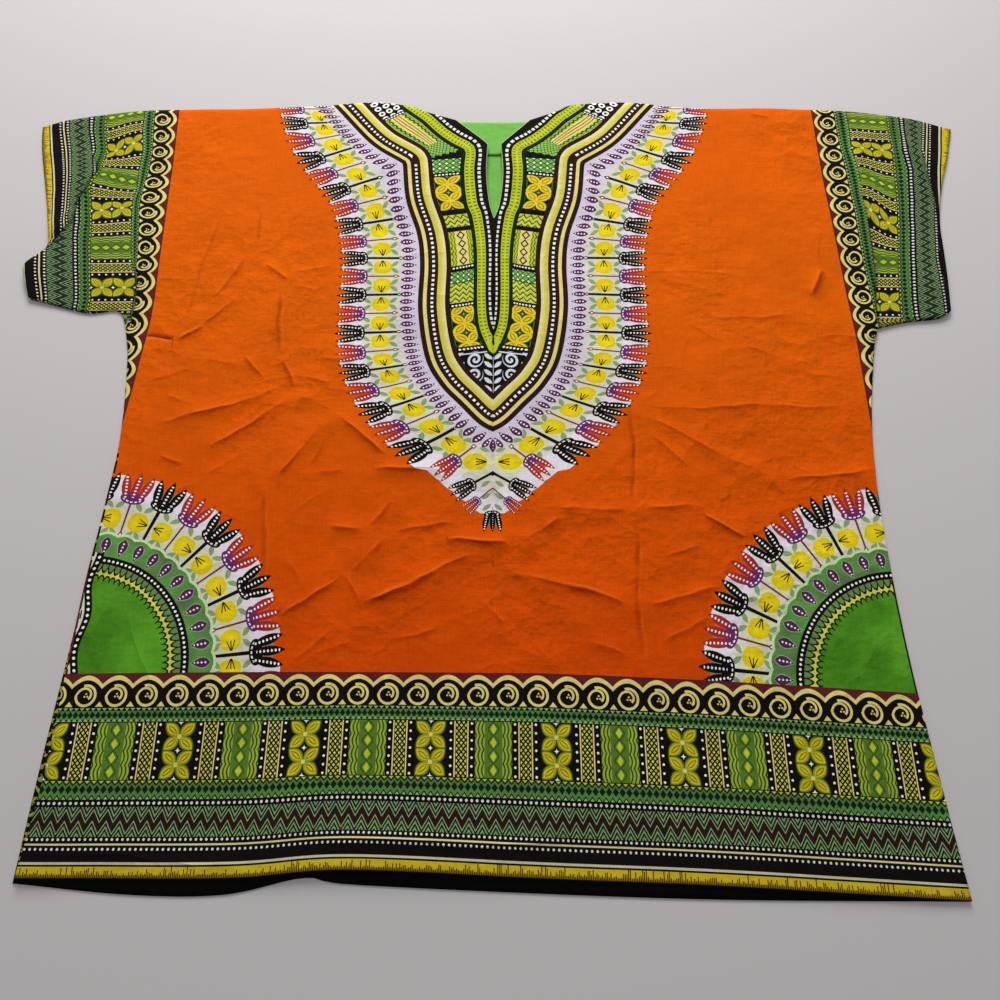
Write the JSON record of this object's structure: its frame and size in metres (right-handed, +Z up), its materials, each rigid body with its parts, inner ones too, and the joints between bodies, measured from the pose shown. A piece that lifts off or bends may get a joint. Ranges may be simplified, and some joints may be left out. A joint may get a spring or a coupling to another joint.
{
  "type": "dashiki shirt",
  "caption": "Wide cotton dashiki shirt with half sleeves cut in one and an open slit V neck, laid flat on its back.",
  "frame": {"origin": "on the surface the shirt lies on, under the middle of its bounding box", "axes": "+X to the right across the front, sleeve tip to sleeve tip, +Y from the hem to the neck, +Z up, out of the front"},
  "size_m": [1.0891, 0.8608, 0.0079],
  "materials": {
    "back_cloth": "plain-woven printed cotton, wrong side paler",
    "facing_cloth": "plain-woven green cotton",
    "front_cloth": "plain-woven printed cotton with a slight wax sheen"
  },
  "bodies": {
    "root": {"back": "back_cloth", "back_neck_facing": "facing_cloth", "front": "front_cloth"}
  },
  "joints": []
}
